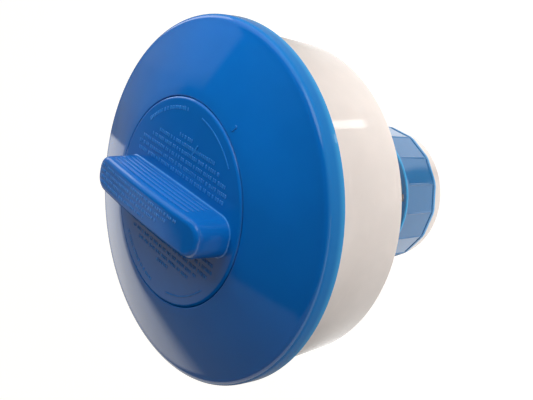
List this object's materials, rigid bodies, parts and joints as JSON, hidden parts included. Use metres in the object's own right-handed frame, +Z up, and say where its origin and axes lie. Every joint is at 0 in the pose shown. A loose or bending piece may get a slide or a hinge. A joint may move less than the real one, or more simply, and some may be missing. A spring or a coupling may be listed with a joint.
{
  "type": "floating chlorine dispenser",
  "caption": "Pool float with a blue disc over a white drum, a screw lid with a grip bar, and a tablet tube below with a dosing collar over its water slots.",
  "frame": {"origin": "centre of the end cap's flat foot, where the object rests", "axes": "+Z up the tube's axis to the lid; +X along the grip bar with the lid shut; +Y across it"},
  "size_m": [0.2, 0.2, 0.2076],
  "materials": {
    "blue_disc": "glossy moulded polypropylene",
    "blue_lid": "glossy moulded polypropylene, finely embossed",
    "blue_collar": "glossy moulded polypropylene",
    "white_drum": "glossy moulded ABS, warm white",
    "white_tube": "satin moulded ABS, warm white",
    "white_cap": "glossy moulded ABS, warm white",
    "inner_white": "satin moulded polypropylene",
    "seal_rubber": "matt EPDM"
  },
  "bodies": {
    "float": {"float_top": "blue_disc", "float_bottom": "white_drum", "rim_gasket": "seal_rubber", "air_plug": "inner_white", "air_plug_seal": "seal_rubber", "well_tube": "inner_white", "throat_gasket": "seal_rubber", "sleeve_gasket": "seal_rubber", "lock_nut": "inner_white", "canister": "white_tube", "canister_gasket": "seal_rubber", "clamp_ring": "inner_white", "tablet_grid": "inner_white", "end_cap": "white_cap", "end_cap_gasket": "seal_rubber"},
    "collar_carrier": {"collar_seal": "seal_rubber"},
    "collar": {"dosing_collar": "blue_collar"},
    "lid_carrier": {"lid_seal": "seal_rubber"},
    "lid": {"lid_cover": "blue_lid", "lid_plug": "inner_white"}
  },
  "joints": [
    {"name": "lid_rise", "type": "slide", "parent": "float", "child": "lid_carrier", "axis": [0, 0, 1], "range_m": [0, 0.03]},
    {"name": "lid_turn", "type": "hinge", "parent": "lid_carrier", "child": "lid", "pos_m": [0, 0, 0.1796], "axis": [0, 0, 1], "range_deg": [0, 450]},
    {"name": "collar_rise", "type": "slide", "parent": "float", "child": "collar_carrier", "axis": [0, 0, 1], "range_m": [0, 0.024]},
    {"name": "collar_turn", "type": "hinge", "parent": "collar_carrier", "child": "collar", "pos_m": [0, 0, 0.01], "axis": [0, 0, 1], "range_deg": [0, 240]}
  ],
  "couplings": [
    {"joint": "lid_rise", "follows": "lid_turn", "m_per_rad": 0.0038197},
    {"joint": "collar_rise", "follows": "collar_turn", "m_per_rad": 0.0057295}
  ]
}
